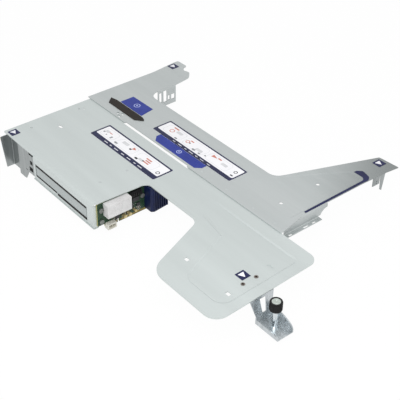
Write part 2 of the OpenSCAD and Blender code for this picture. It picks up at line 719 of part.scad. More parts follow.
// Side wall of the foot, drawn along X and falling in a curve to the foot's tip
module foot_wall_shape(tall) {
    intersection() {
        square([foot_reach, tall]);
        polygon([[0, 0], [foot_reach, 0],
            for (k = [0:10]) [foot_reach * cos(k * 9), foot_t + 2 + (tall - foot_t - 2) * sin(k * 9)]]);
    }
}

module foot_bracket() {
    x = back_plate_x;
    under = plate_top - sheet_t - panel_deep;
    h = under - foot_z;
    color("gainsboro") placed() difference() {
        union() {
            // Tab under the paddle
            translate([x - 28, 23, under - foot_t]) cube([28 + foot_t, foot_y + foot_w - 23, foot_t]);
            // Back plate, slanted on its rear side, with a window
            translate([x, 0, foot_z]) rotate([90, 0, 90]) linear_extrude(foot_t) difference() {
                polygon([[foot_y, 0], [foot_y + foot_w, 0], [foot_y + foot_w, h], [23, h], [foot_y, 8]]);
                polygon([[foot_y + 7.4, foot_t + 8], [foot_y + foot_w - 7, foot_t + 8],
                         [foot_y + foot_w - 9, h - 3], [34.6, h - 3]]);
            }
            // Base with its two side walls
            translate([x, foot_y, foot_z]) cube([foot_t + foot_reach, foot_w, foot_t]);
            for (s = [[0, foot_wall * 0.6], [foot_w - foot_t, foot_wall + 5]])
                translate([x + foot_t - touch, foot_y + s.x, foot_z]) rotate([90, 0, 0]) mirror([0, 0, 1])
                    linear_extrude(foot_t) foot_wall_shape(s.y);
        }
        post_at(screw_x, screw_y, bush_r - 1, foot_z - cut, foot_top + cut);
        for (p = foot_rivets) post_at(p.x, p.y, rivet_r + hole_gap, under - 3, under + 1);
    }
}

module screw_bush() {
    color("silver") placed() translate([screw_x, screw_y, 0]) rotate_extrude()
        polygon([[thread_d / 2 + run_gap, foot_z], [bush_r - 1.05, foot_z], [bush_r - 1.05, foot_top],
                 [bush_r, foot_top], [bush_r, bush_top], [thread_d / 2 + run_gap, bush_top]]);
}

groove_z = foot_z - screw_travel - 0.9;

// Screw with its head disc, shoulder, thread and the groove for the ring
module thumbscrew() {
    top = knob_z + knob_h;
    groove_r = thread_d / 2 - 0.5;
    color("silver") placed() translate([screw_x, screw_y, 0]) rotate_extrude()
        polygon([[0, groove_z - 1.2], [thread_d / 2 - 0.5, groove_z - 1.2], [thread_d / 2, groove_z - 0.7],
                 [thread_d / 2, groove_z], [groove_r, groove_z], [groove_r, groove_z + 0.9],
                 [thread_d / 2, groove_z + 0.9], [thread_d / 2, bush_top], [shoulder_d / 2, bush_top],
                 [shoulder_d / 2, knob_z], [4.2, knob_z], [4.2, top - 0.5], [1, top - 0.5], [0, top - 0.9]]);
}

module retaining_ring() {
    groove_r = thread_d / 2 - 0.5;
    color("dimgray") placed() translate([screw_x, screw_y, 0]) rotate_extrude()
        polygon([[groove_r + run_gap, groove_z + 0.05], [4, groove_z + 0.05], [4, groove_z + 0.85],
                 [groove_r + run_gap, groove_z + 0.85]]);
}

module knob_sleeve() {
    color("black") placed() translate([screw_x, screw_y, knob_z]) difference() {
        union() {
            cylinder(h = knob_h, r = knob_d / 2 - 0.35);
            for (i = [0:knob_ribs - 1]) rotate(i * 360 / knob_ribs)
                translate([knob_d / 2 - 0.8, -0.3, 0.8]) cube([0.8, 0.6, knob_h - 1.6]);
        }
        translate([0, 0, -cut]) cylinder(h = knob_h + 2 * cut, r = 4.22);
    }
}

// ---------------------------------------------------------------- labels

module flat_label(p, z) { slab(p, z, z + label_t); }

module cage_label() {
    color("white") placed() flat_label([[61.7, 66.7, 1.5], [175.7, 66.7, 1.5], [175.7, 93.4, 1.5],
                                        [61.7, 93.4, 1.5]], plate_top);
}

module front_label() {
    color("white") placed() flat_label([[97.9, 125.1, 1.5], [226.8, 125.1, 1.5], [226.8, 150.7, 1.5],
                                        [97.9, 150.7, 1.5]], front_top);
}

module left_grip_label() {
    color("royalblue") placed() flat_label([[29, 131, 0.6], [69, 131, 0.6], [65.6, 150, 0.6],
                                            [29, 149.4, 0.6]], front_top);
}

module joint_grip_label() {
    color("royalblue") placed() flat_label([[119.5, 112.6, 0.6], [185.7, 112.6, 0.6], [191.3, 118.6, 0.6],
                                            [191.3, 124.9, 0.6], [113.1, 124.9, 0.6], [113.1, 119, 0.6]], front_top);
}

// Stripe along the right arm's edge, hooked round the end of the pressed panel
module arm_grip_label() {
    x = right_arm_x - 0.3;
    color("navy") placed() flat_label([[x, 149, 0], [x, 232, 0], [x + 0.6, 238, 3], [x - 3, 243.5, 6],
        [x - 14.5, 246.3, 3], [x - 18.8, 241.5, 1], [x - 19.4, strip_y + 71, 0.5],
        [x - 3, strip_y + 71, 6], [x - 2.6, 149, 0]], front_top);
}

module arrow_labels() {
    s = arrow_side;
    color("navy") placed() for (p = [[4.2, -3.2, plate_top], [-5.6, 226, front_top],
                                     [294.9, 265.4, front_top], [337.8, 35.8, plate_top - panel_deep]])
        translate([p.x, p.y, p.z]) linear_extrude(label_t) square(s);
}

cage_sheet();
front_sheet();
corner_post();
slot_cover();
cover_screw();
board_bracket();
riser_board();
slot_connector();
cable_connector();
signal_header();
pin_strip();
board_chips();
board_capacitors();
guide_block();
board_screws();
sheet_rivets();
bracket_rivets();
edge_guard();
foot_bracket();
screw_bush();
retaining_ring();
thumbscrew();
knob_sleeve();
cage_label();
front_label();
left_grip_label();
joint_grip_label();
arm_grip_label();
arrow_labels();
tip_guide();
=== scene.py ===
"""Riser cage bracket: finishes, printed film, small hardware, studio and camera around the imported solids."""

import logging
import math
from dataclasses import dataclass, field
from enum import Enum
from typing import Any, Iterable, Sequence

import bpy
import numpy as np
from mathutils import Matrix, Vector

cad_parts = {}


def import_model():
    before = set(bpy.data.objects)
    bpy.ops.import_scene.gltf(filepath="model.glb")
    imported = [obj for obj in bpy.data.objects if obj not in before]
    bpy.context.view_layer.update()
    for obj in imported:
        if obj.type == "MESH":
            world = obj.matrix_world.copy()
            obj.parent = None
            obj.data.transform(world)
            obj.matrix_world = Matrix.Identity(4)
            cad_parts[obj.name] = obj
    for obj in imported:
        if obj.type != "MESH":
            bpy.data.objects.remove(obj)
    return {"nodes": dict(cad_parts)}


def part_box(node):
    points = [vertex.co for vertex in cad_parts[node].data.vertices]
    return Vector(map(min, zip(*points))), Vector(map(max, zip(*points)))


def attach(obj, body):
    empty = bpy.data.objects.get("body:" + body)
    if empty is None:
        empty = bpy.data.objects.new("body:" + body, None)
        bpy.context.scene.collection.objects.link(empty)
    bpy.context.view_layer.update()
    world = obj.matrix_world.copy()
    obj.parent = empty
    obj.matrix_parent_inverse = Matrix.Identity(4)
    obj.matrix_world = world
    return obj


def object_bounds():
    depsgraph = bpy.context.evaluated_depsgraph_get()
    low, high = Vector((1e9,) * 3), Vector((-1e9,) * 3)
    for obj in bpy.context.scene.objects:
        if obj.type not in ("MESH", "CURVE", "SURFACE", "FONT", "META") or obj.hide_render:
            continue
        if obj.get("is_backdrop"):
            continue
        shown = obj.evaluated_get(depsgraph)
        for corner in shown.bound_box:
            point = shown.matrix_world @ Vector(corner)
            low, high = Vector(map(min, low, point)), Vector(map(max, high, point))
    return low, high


LOG = logging.getLogger("riser_cage_bracket")
MM = 0.001
ROOT = "root"
SCREW = "screw"

Array = np.ndarray
Colour = tuple[float, float, float, float]


# ------------------------------------------------------------------ colour and nodes


def linear(code: str) -> Colour:
    """Turns an sRGB hex code into a linear colour.

    Args:
        code: Six hex digits, as "C9CFCE".

    Returns:
        Red, green, blue and an alpha of 1, all linear.
    """
    parts = [int(code[i : i + 2], 16) / 255 for i in (0, 2, 4)]
    out = [c / 12.92 if c <= 0.04045 else ((c + 0.055) / 1.055) ** 2.4 for c in parts]
    return out[0], out[1], out[2], 1.0


def add_node(
    tree: bpy.types.NodeTree,
    kind: str,
    settings: dict[str, Any] | None = None,
    links: dict[str | int, bpy.types.NodeSocket] | None = None,
) -> bpy.types.Node:
    """Adds one node to a tree.

    Args:
        tree: The node tree.
        kind: Blender's identifier of the node.
        settings: Values by input name or number, or by property name.
        links: Output sockets to join, by the name or number of the input that takes them.

    Returns:
        The new node.
    """
    node = tree.nodes.new(kind)
    for key, value in (settings or {}).items():
        if isinstance(key, int) or key in node.inputs:
            node.inputs[key].default_value = value
        else:
            setattr(node, key, value)
    for key, socket in (links or {}).items():
        tree.links.new(socket, node.inputs[key])
    return node


class Grain(Enum):
    """Direction in which a sheet was rolled, as the stretch of its streaks along X, Y and Z."""

    ALONG_X = (0.06, 1.0, 1.0)
    UPRIGHT = (1.0, 1.0, 0.06)
    NONE = (1.0, 1.0, 1.0)


@dataclass(frozen=True)
class Finish:
    """A surface finish; each kind builds its own nodes.

    Attributes:
        name: The finish's plain name.
        colour: sRGB hex of the surface.
        shade: sRGB hex that the colour wanders to.
        metallic: 0 for a dielectric and 1 for bare metal.
        roughness: Mean roughness.
        spot_mm: Size of the slow change of colour.
        grain_mm: Size of the fine relief.
        relief_mm: Height of the fine relief.
        grain: Direction of rolling or turning marks.
        gloss: Level of the plain reflection of a dielectric.
        far: sRGB hex of the painted shade that the tone falls to along painted_shade_axis, or nothing.
        painted_shade_axis: Direction in which that painted shade deepens.
        painted_shade_m: Where along the direction the painted shade starts and ends, in metres.
    """

    name: str
    colour: str
    shade: str
    metallic: float = 0.0
    roughness: float = 0.5
    spot_mm: float = 12.0
    grain_mm: float = 0.5
    relief_mm: float = 0.01
    grain: Grain = Grain.NONE
    gloss: float = 0.5
    # Painted shade: the far tone that the colour falls to along a fixed direction, the same under any light.
    far: str = ""
    painted_shade_axis: tuple[float, float, float] = (0.7, 0.7, 0.0)
    painted_shade_m: tuple[float, float] = (0.09, 0.19)

    def place(self, tree: bpy.types.NodeTree, size_mm: float) -> bpy.types.NodeSocket:
        """Object coordinates scaled so that one unit is size_mm, and stretched along the grain.

        Args:
            tree: The material's node tree.
            size_mm: Real size of one unit of the pattern.

        Returns:
            The vector socket.
        """
        at = add_node(tree, "ShaderNodeTexCoord")
        step = 1 / (size_mm * MM)
        scale = tuple(step * k for k in self.grain.value)
        return add_node(tree, "ShaderNodeMapping", {"Scale": scale}, {"Vector": at.outputs["Object"]}).outputs[0]

    def tint(self, tree: bpy.types.NodeTree) -> bpy.types.NodeSocket:
        """Colour that wanders between the surface's two hex values with soft noise, with painted shade mixed in where
        the finish has a far tone.

        Args:
            tree: The material's node tree.

        Returns:
            The colour socket.
        """
        soft = add_node(
            tree,
            "ShaderNodeTexNoise",
            {"Scale": 1.0, "Detail": 4.0, "Roughness": 0.6},
            {"Vector": self.place(tree, self.spot_mm)},
        )
        spread = add_node(
            tree,
            "ShaderNodeMapRange",
            {"From Min": 0.3, "From Max": 0.7},
            {"Value": soft.outputs["Fac"]},
        )
        mix = add_node(
            tree,
            "ShaderNodeMix",
            {"data_type": "RGBA", 6: linear(self.colour), 7: linear(self.shade)},
            {0: spread.outputs["Result"]},
        )
        return self.fall(tree, mix.outputs[2]) if self.far else mix.outputs[2]

    def fall(self, tree: bpy.types.NodeTree, near: bpy.types.NodeSocket) -> bpy.types.NodeSocket:
        """Mixes painted shade in: the far tone, by how far the point lies along the fall's direction.

        Args:
            tree: The material's node tree.
            near: Colour before the fall.

        Returns:
            The colour socket.
        """
        at = add_node(tree, "ShaderNodeTexCoord")
        along = add_node(
            tree, "ShaderNodeVectorMath", {"operation": "DOT_PRODUCT", 1: self.painted_shade_axis}, {0: at.outputs["Object"]}
        )
        start, end = self.painted_shade_m
        share = add_node(
            tree,
            "ShaderNodeMapRange",
            {"interpolation_type": "SMOOTHSTEP", "From Min": start, "From Max": end},
            {"Value": along.outputs["Value"]},
        )
        mix = add_node(
            tree, "ShaderNodeMix", {"data_type": "RGBA", 7: linear(self.far)}, {0: share.outputs["Result"], 6: near}
        )
        return mix.outputs[2]

    def relief(self, tree: bpy.types.NodeTree) -> bpy.types.NodeSocket:
        """Normal of the fine grain.

        Args:
            tree: The material's node tree.

        Returns:
            The normal socket.
        """
        fine = add_node(
            tree, "ShaderNodeTexNoise", {"Scale": 1.0, "Detail": 2.0}, {"Vector": self.place(tree, self.grain_mm)}
        )
        bump = add_node(
            tree,
            "ShaderNodeBump",
            {"Strength": 0.35, "Distance": self.relief_mm * MM},
            {"Height": fine.outputs["Fac"]},
        )
        return bump.outputs[0]

    def matt(self, tree: bpy.types.NodeTree) -> bpy.types.NodeSocket:
        """Roughness that varies by about a sixth, in spots a third as large as the colour's.

        Args:
            tree: The material's node tree.

        Returns:
            The roughness socket.
        """
        fine = add_node(
            tree, "ShaderNodeTexNoise", {"Scale": 1.0, "Detail": 3.0}, {"Vector": self.place(tree, self.spot_mm / 3)}
        )
        spread = add_node(
            tree,
            "ShaderNodeMapRange",
            {"To Min": self.roughness * 0.84, "To Max": min(1.0, self.roughness * 1.16)},
            {"Value": fine.outputs["Fac"]},
        )
        return spread.outputs["Result"]

    def material(self) -> bpy.types.Material:
        """Builds the material.

        Returns:
            A material named for the finish, or the one that was built before.
        """
        made = bpy.data.materials.get(self.name)
        if made:
            return made
        made = bpy.data.materials.new(self.name)
        made.use_nodes = True
        tree = made.node_tree
        tree.nodes.clear()
        shader = add_node(
            tree,
            "ShaderNodeBsdfPrincipled",
            {
                "Metallic": self.metallic,
                "Specular IOR Level": self.gloss,
            },
            {"Base Color": self.tint(tree), "Roughness": self.matt(tree), "Normal": self.relief(tree)},
        )
        add_node(tree, "ShaderNodeOutputMaterial", {}, {"Surface": shader.outputs[0]})
        return made


@dataclass(frozen=True)
class BoardFinish(Finish):
    """Solder mask over copper tracks, with the bare glass-epoxy edge of the cut board.

    Attributes:
        edge: sRGB hex of the cut edge.
        track: sRGB hex of mask over copper.
        pitch_mm: Pitch of the tracks.
        faces_x_m: The board's two faces along X, in metres.
    """

    edge: str = "A9A56A"
    track: str = "2C5036"
    pitch_mm: float = 1.27
    faces_x_m: tuple[float, float] = (0.0, 0.0)

    def tint(self, tree: bpy.types.NodeTree) -> bpy.types.NodeSocket:
        """Tracks as the mortar of a brick pattern laid on the board's face, and the edge's colour between the faces.

        Args:
            tree: The material's node tree.

        Returns:
            The colour socket.
        """
        at = add_node(tree, "ShaderNodeTexCoord")
        axes = add_node(tree, "ShaderNodeSeparateXYZ", {}, {0: at.outputs["Object"]})
        face = add_node(tree, "ShaderNodeCombineXYZ", {}, {"X": axes.outputs["Y"], "Y": axes.outputs["Z"]})
        tracks = add_node(
            tree,
            "ShaderNodeTexBrick",
            {
                "Color1": linear(self.colour),
                "Color2": linear(self.shade),
                "Mortar": linear(self.track),
                "Scale": 1 / (self.pitch_mm * 4 * MM),
                "Mortar Size": 0.035,
                "Bias": 0.2,
                "Brick Width": 1.1,
                "Row Height": 0.25,
            },
            {"Vector": face.outputs[0]},
        )
        low, high = self.faces_x_m
        off = add_node(tree, "ShaderNodeMath", {"operation": "SUBTRACT", 1: (low + high) / 2}, {0: axes.outputs["X"]})
        far = add_node(tree, "ShaderNodeMath", {"operation": "ABSOLUTE"}, {0: off.outputs[0]})
        inside = add_node(
            tree, "ShaderNodeMath", {"operation": "LESS_THAN", 1: (high - low) / 2 - 0.05 * MM}, {0: far.outputs[0]}
        )
        mix = add_node(
            tree,
            "ShaderNodeMix",
            {"data_type": "RGBA", 7: linear(self.edge)},
            {0: inside.outputs[0], 6: tracks.outputs[0]},
        )
        return mix.outputs[2]


# Zinc-plated cold-rolled sheet: pale grey, with a broad soft sheen and faint streaks along the rolling.
ZINC_CAGE = Finish(
    "zinc_plated_steel", "CAD1D0", "C2C9C8", metallic=0.55, roughness=0.42, spot_mm=26, grain_mm=0.6,
    relief_mm=0.012, grain=Grain.ALONG_X,
)
# The same plated sheet a shade darker, with painted shade: its tone falls by place towards the right arm's tip, under
# any light.
ZINC_FRONT_PAINTED_SHADE = Finish(
    "zinc_plated_steel_front_painted_shade", "BEC3C3", "B3B9B9", metallic=0.55, roughness=0.4, spot_mm=26, grain_mm=0.6,
    relief_mm=0.012, grain=Grain.ALONG_X, far="868B8B",
)
# Plated sheet folded into narrow channels: darker, with upright streaks that set the folds apart.
ZINC_POST = Finish(
    "zinc_plated_steel_post", "A3A8A8", "8B9090", metallic=0.85, roughness=0.3, spot_mm=5, grain_mm=0.5,
    relief_mm=0.012, grain=Grain.UPRIGHT,
)
# Rolled stainless strip: smooth, and a little greyer than the plated wall round it.
STAINLESS = Finish(
    "stainless_strip", "B4BCBC", "A9B0B0", metallic=0.6, roughness=0.38, spot_mm=14, grain_mm=0.4,
    relief_mm=0.01, grain=Grain.ALONG_X,
)
# Plated and pressed strip: brighter and glossier than the sheets, with blotches of plating.
ZINC_FOOT = Finish(
    "zinc_plated_foot", "CCD1D4", "A9AFB2", metallic=0.8, roughness=0.28, spot_mm=7, grain_mm=0.4,
    relief_mm=0.01, grain=Grain.UPRIGHT,
)
# Plated rivets set flush: heads that barely stand out from the sheet.
RIVET_STEEL = Finish("plated_rivet", "C6CCCC", "B6BCBC", metallic=0.6, roughness=0.38, spot_mm=3, grain_mm=0.3)
# Hollow rivets, rolled over: brownish rings with a dull gleam.
HOLLOW_RIVET = Finish("hollow_rivet", "8F8580", "6F6863", metallic=0.9, roughness=0.4, spot_mm=2, grain_mm=0.3)
# Dull-plated screws: grey heads that stay quiet against the dark board.
DULL_SCREW = Finish("dull_plated_screw", "8C908C", "6E726E", metallic=0.8, roughness=0.45, spot_mm=2, grain_mm=0.3)
# Nickel-plated turned steel: a narrow bright highlight down the shank.
TURNED_STEEL = Finish(
    "nickel_plated_turned_steel", "DDE3E6", "C5CCD0", metallic=1.0, roughness=0.16, spot_mm=2, grain_mm=0.25,
    relief_mm=0.008,
)
# Blackened screw steel: near-black with a soft gleam.
BLACK_OXIDE = Finish("blackened_screw", "3A3A3C", "2A2A2C", metallic=0.7, roughness=0.42, spot_mm=2, grain_mm=0.3)
# Stamped spring steel: mid-grey, darker than the plated metal beside it.
SPRING_STEEL = Finish("spring_steel", "6A6A6C", "525254", metallic=0.9, roughness=0.35, spot_mm=2, grain_mm=0.3)
# Moulded black nylon: deep black that barely reflects.
BLACK_NYLON = Finish(
    "moulded_black_nylon", "161618", "101012", gloss=0.3, roughness=0.5, spot_mm=6, grain_mm=0.3, relief_mm=0.02
)
# Moulded white nylon: off-white with a gentle sheen.
WHITE_NYLON = Finish(
    "moulded_white_nylon", "D6D6D6", "C8C7C7", roughness=0.4, spot_mm=7, grain_mm=0.3, relief_mm=0.015
)
# Moulded ivory nylon: warmer than the white.
IVORY_NYLON = Finish(
    "moulded_ivory_nylon", "D9D7CF", "C6C3B6", roughness=0.42, spot_mm=5, grain_mm=0.3, relief_mm=0.015
)
# Moulded dark blue nylon: almost black in its grooves.
BLUE_NYLON = Finish(
    "dark_blue_nylon", "0E1C46", "0A1230", gloss=0.25, roughness=0.4, spot_mm=8, grain_mm=0.3, relief_mm=0.02
)
# Soft plastic edge guard: brownish black and slightly uneven.
GUARD_PLASTIC = Finish(
    "edge_guard_plastic", "15110D", "241D16", gloss=0.2, roughness=0.5, spot_mm=9, grain_mm=0.4, relief_mm=0.03
)
# Moulded knob sleeve: matt black with ribs that catch little light.
KNOB_PLASTIC = Finish(
    "moulded_knob", "121315", "0B0C0D", gloss=0.25, roughness=0.46, spot_mm=3, grain_mm=0.2, relief_mm=0.02
)
# Moulded epoxy of the chips: matt charcoal.
CHIP_RESIN = Finish("moulded_chip_resin", "26262A", "1B1B1E", roughness=0.55, spot_mm=3, grain_mm=0.2, relief_mm=0.02)
# Drawn aluminium cans: small, warm and softly metallic.
CAN_ALUMINIUM = Finish("aluminium_can", "C9B98A", "AFA070", metallic=0.4, roughness=0.35, spot_mm=2, grain_mm=0.2)
# Conductive foam that also stands in for shade: black with no sharp highlight, so that a gap reads as a shaded
# opening.
FOAM_AND_PAINTED_SHADE = Finish("conductive_foam_and_painted_shade", "0E0E0F", "050505", roughness=0.9, spot_mm=2, grain_mm=0.5, relief_mm=0.1)
# Gold-plated contacts: dull gold strips.
GOLD_CONTACT = Finish("gold_contact", "A8935A", "857443", metallic=1.0, roughness=0.35, spot_mm=1.5, grain_mm=0.2)
# Tinned copper and solder: small silver points.
TINNED = Finish("tinned_copper", "D6D8D4", "BFC1BC", metallic=0.9, roughness=0.3, spot_mm=1.5, grain_mm=0.2)
# White printed film: clean white with a faint sheen.
FILM_WHITE = Finish(
    "white_film", "F6F6F8", "EFEFF3", roughness=0.34, spot_mm=18, grain_mm=0.8, relief_mm=0.004, gloss=0.22
)
# Blue printed film: saturated royal blue.
FILM_BLUE = Finish(
    "blue_film", "2A3C98", "223288", roughness=0.36, spot_mm=16, grain_mm=0.8, relief_mm=0.004, gloss=0.22
)
# Navy printed film: dark, with the same faint sheen.
FILM_NAVY = Finish(
    "navy_film", "1C2150", "171B42", roughness=0.36, spot_mm=16, grain_mm=0.8, relief_mm=0.004, gloss=0.22
)
# Navy ink: the line round a label and its band.
INK_NAVY = Finish("navy_ink", "20243F", "282C50", roughness=0.4, spot_mm=5, grain_mm=0.4, relief_mm=0.003, gloss=0.2)
# White ink: bars and triangles that stand out on the dark film and band.
INK_WHITE = Finish(
    "white_ink", "F4F5F8", "E9EAF0", roughness=0.4, spot_mm=4, grain_mm=0.4, relief_mm=0.003, gloss=0.2
)
# Pale blue ink: a sign that stands out on the blue film.
INK_PALE_BLUE = Finish(
    "pale_blue_ink", "B9C3EC", "A5B1E2", roughness=0.4, spot_mm=4, grain_mm=0.4, relief_mm=0.003, gloss=0.2
)
# Grey ink: middle tones of the pictures.
INK_GREY = Finish("grey_ink", "A4A6A8", "8D8F93", roughness=0.42, spot_mm=4, grain_mm=0.4, relief_mm=0.003, gloss=0.2)
# Pale grey ink: faint frames and fills behind the pictures.
INK_PALE_GREY = Finish(
    "pale_grey_ink", "D9DADC", "CFD0D3", roughness=0.42, spot_mm=4, grain_mm=0.4, relief_mm=0.003, gloss=0.2
)
# Dark ink: the darkest parts of the pictures.
INK_DARK = Finish("dark_ink", "4B4D52", "3A3C40", roughness=0.42, spot_mm=4, grain_mm=0.4, relief_mm=0.003, gloss=0.2)
# Faded red ink: the warm parts of the pictures.
INK_RED = Finish("red_ink", "D08A7C", "C57868", roughness=0.42, spot_mm=4, grain_mm=0.4, relief_mm=0.003, gloss=0.2)
# Glazed ceramic parts: tan, mottled towards brown.
CERAMIC = Finish("ceramic_part", "6E6242", "40372A", roughness=0.5, spot_mm=2.4, grain_mm=0.2)
# Turned disc in the knob: pale and satin against the black sleeve.
KNOB_DISC = Finish("knob_disc", "BCC4BF", "A9B2AC", metallic=0.5, roughness=0.4, spot_mm=2.5, grain_mm=0.2)


# ------------------------------------------------------------------ meshes


@dataclass
class Shell:
    """Vertices and faces of one or more closed forms, gathered before they become one mesh."""

    points: list[Array] = field(default_factory=list)
    faces: list[list[int]] = field(default_factory=list)

    @property
    def count(self) -> int:
        """Number of vertices so far."""
        return sum(len(p) for p in self.points)

    def add(self, points: Array, faces: Iterable[Sequence[int]]) -> None:
        """Adds one form.

        Args:
            points: Vertices, in millimetres.
            faces: Vertex numbers of each face, from 0.
        """
        base = self.count
        self.points.append(np.asarray(points, float))
        self.faces.extend((np.asarray(f) + base).tolist() for f in faces)

    def plate(self, outline: Array, low: float, high: float) -> None:
        """Upright prism: an outline carried along Z, closed by two flat caps.

        Args:
            outline: Points x, y of the edge, counterclockwise, in millimetres.
            low: Height of the lower cap.
            high: Height of the upper cap.
        """
        n = len(outline)
        k = np.arange(n)
        rows = [np.column_stack([outline, np.full(n, z)]) for z in (low, high)]
        sides = np.column_stack([k, (k + 1) % n, (k + 1) % n + n, k + n])
        self.add(np.vstack(rows), [k[::-1], k + n, *sides])

    def frame(self, outer: Array, inner: Array, low: float, high: float) -> None:
        """Closed band between two outlines with as many points: four edge loops joined into a ring.

        Args:
            outer: Outer outline, counterclockwise.
            inner: Inner outline, counterclockwise.
            low: Height of the lower face.
            high: Height of the upper face.
        """
        loops = [(outer, low), (outer, high), (inner, high), (inner, low)]
        n = len(outer)
        grid = np.array([np.column_stack([p, np.full(n, z)]) for p, z in loops])
        self.wrap(grid, True)

    def wrap(self, grid: Array, closed: bool) -> None:
        """Surface on a grid of rows and columns whose columns always join up.

        Args:
            grid: Points, rows by columns by 3.
            closed: Whether the last row joins the first too. Where it doesn't, both ends get a flat cap.
        """
        rows, cols = grid.shape[:2]
        r = np.arange(rows if closed else rows - 1)[:, None]
        c = np.arange(cols)[None, :]
        up, right = (r + 1) % rows, (c + 1) % cols
        quads = np.stack([r * cols + c, r * cols + right, up * cols + right, up * cols + c], -1).reshape(-1, 4)
        k = np.arange(cols)
        caps = [] if closed else [k[::-1], k + (rows - 1) * cols]
        self.add(grid.reshape(-1, 3), [*quads, *caps])

    def box(self, low: Sequence[float], high: Sequence[float]) -> None:
        """Box between two corners, in millimetres.

        Args:
            low: Lowest corner.
            high: Highest corner.
        """
        x = np.array([low[0], high[0], high[0], low[0]])
        y = np.array([low[1], low[1], high[1], high[1]])
        self.plate(np.column_stack([x, y]), low[2], high[2])

    def build(self, name: str, finish: Finish, body: str, slot: str | None = None) -> bpy.types.Object:
        """Makes the object, in metres and with its place in its mesh.

        Args:
            name: Name of the piece.
            finish: Its finish.
            body: CAD body that it rides on.
            slot: Not used.

        Returns:
            The object.
        """
        mesh = bpy.data.meshes.new(name)
        mesh.from_pydata(np.vstack(self.points) * MM, [], self.faces)
        mesh.validate()
        mesh.update()
        mesh.materials.append(finish.material())
        made = bpy.data.objects.new(name, mesh)
        bpy.context.scene.collection.objects.link(made)
        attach(made, body)
        return made


def rounded_outline(corners: Array, radius: float, steps: int = 5) -> Array:
    """Outline with each corner cut by an arc.

    At a corner b with unit edges u and v, the arc's centre lies on their bisector, and its points are that centre
    plus the radius times the direction that turns evenly from one tangent point to the other.

    Args:
        corners: Corner points x, y, counterclockwise.
        radius: Radius of every corner.
        steps: Chords in each arc.

    Returns:
        Points of the outline.
    """
    before, after = np.roll(corners, 1, 0) - corners, np.roll(corners, -1, 0) - corners
    u = before / np.linalg.norm(before, axis=1, keepdims=True)
    v = after / np.linalg.norm(after, axis=1, keepdims=True)
    half = np.arccos(np.clip((u * v).sum(1), -1, 1)) / 2
    middle = (u + v) / np.linalg.norm(u + v, axis=1, keepdims=True)
    centre = corners + middle * (radius / np.sin(half))[:, None]
    a = corners + u * (radius / np.tan(half))[:, None] - centre
    b = corners + v * (radius / np.tan(half))[:, None] - centre
    t = np.linspace(0, 1, steps + 1)[None, :, None]
    arc = a[:, None, :] * (1 - t) + b[:, None, :] * t
    arc *= radius / np.maximum(np.linalg.norm(arc, axis=2, keepdims=True), 1e-9)
    return (centre[:, None, :] + arc).reshape(-1, 2)


def rectangle(x0: float, y0: float, x1: float, y1: float, radius: float = 0.3) -> Array:
    """Outline of a rectangle with rounded corners."""
    return rounded_outline(np.array([[x0, y0], [x1, y0], [x1, y1], [x0, y1]], float), radius, 3)


def disc(x: float, y: float, radius: float, squash: float = 1.0, count: int = 28) -> Array:
    """Outline of an ellipse: centre plus radius times cosine and squashed sine of an even angle."""
    a = np.linspace(0, 2 * math.pi, count, endpoint=False)
    return np.column_stack([x + radius * np.cos(a), y + radius * squash * np.sin(a)])


# ------------------------------------------------------------------ sub-assemblies


def node_mm(node: str) -> tuple[Array, Array]:
    """Lowest and highest corner of a CAD node, in millimetres."""
    low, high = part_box(node)
    return np.array(low) / MM, np.array(high) / MM


def dress(nodes: dict[str, bpy.types.Object], finishes: dict[str, Finish]) -> None:
    """Gives CAD nodes their finishes.

    Args:
        nodes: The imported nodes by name.
        finishes: A finish for each node's name.
    """
    for name, finish in finishes.items():
        mesh = nodes[name].data
        mesh.materials.clear()
        mesh.materials.append(finish.material())


@dataclass
class SheetMetal:
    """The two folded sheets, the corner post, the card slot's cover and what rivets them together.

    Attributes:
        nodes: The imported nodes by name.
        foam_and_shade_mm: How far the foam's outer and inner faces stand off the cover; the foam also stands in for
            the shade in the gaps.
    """

    nodes: dict[str, bpy.types.Object]
    foam_and_shade_mm: tuple[float, float] = (0.24, 0.02)

    def dress(self) -> None:
        """Plated finishes for every folded or formed steel piece."""
        dress(
            self.nodes,
            {
                "cage_sheet": ZINC_CAGE,
                # The front sheet's finish, also on the board bracket, carries painted shade towards the right arm's
                # tip.
                "front_sheet": ZINC_FRONT_PAINTED_SHADE,
                "corner_post": ZINC_POST,
                "slot_cover": STAINLESS,
                "cover_screw": BLACK_OXIDE,
                "board_bracket": ZINC_FRONT_PAINTED_SHADE,
                "tip_guide": ZINC_POST,
                "sheet_rivets": RIVET_STEEL,
                "bracket_rivets": HOLLOW_RIVET,
                "edge_guard": GUARD_PLASTIC,
            },
        )

    def gaskets_and_painted_shade(self) -> bpy.types.Object:
        """Black foam that seals the gaps round the card slot's cover and stands in for the shade in them, and a black
        sheet of painted shade behind the post's windows.

        Returns:
            The foam and the painted shade.
        """
        low, high = node_mm("slot_cover")
        face, x0, x1, top, foot = low[1], low[0] - 0.3, high[0] - 4.8, high[2], low[2]
        outer, inner = (face - v for v in self.foam_and_shade_mm)
        shell = Shell()
        # Foam and painted shade over the cover, under its right part and under its left part; painted shade alone
        # behind the post's windows.
        shell.box((x0, outer, top - 1.3), (x1, inner, top + 1.5))
        shell.box((x0 + 42.2, outer, foot + 1.5), (x1, inner, foot + 4.1))
        shell.box((x0 + 0.3, outer, foot + 3.2), (x0 + 40, inner, foot + 4.6))
        # Painted shade: a black sheet where the post's windows show only shade.
        shell.box((x0 - 17.3, face + 1.75, foot + 0.5), (x0 - 5.0, face + 2.55, top + 9.1))
        return shell.build("foam_gaskets_and_painted_shade", FOAM_AND_PAINTED_SHADE, ROOT)

    def build(self) -> list[bpy.types.Object]:
        """Dresses the sheets and adds the foam and the painted shade."""
        self.dress()
        return [self.gaskets_and_painted_shade()]


class Mark(Enum):
    """Generic shapes printed on a label."""

    RING = "ring"
    SPOT = "spot"
    BAR = "bar"
    WEDGE = "wedge"
    PANEL = "panel"


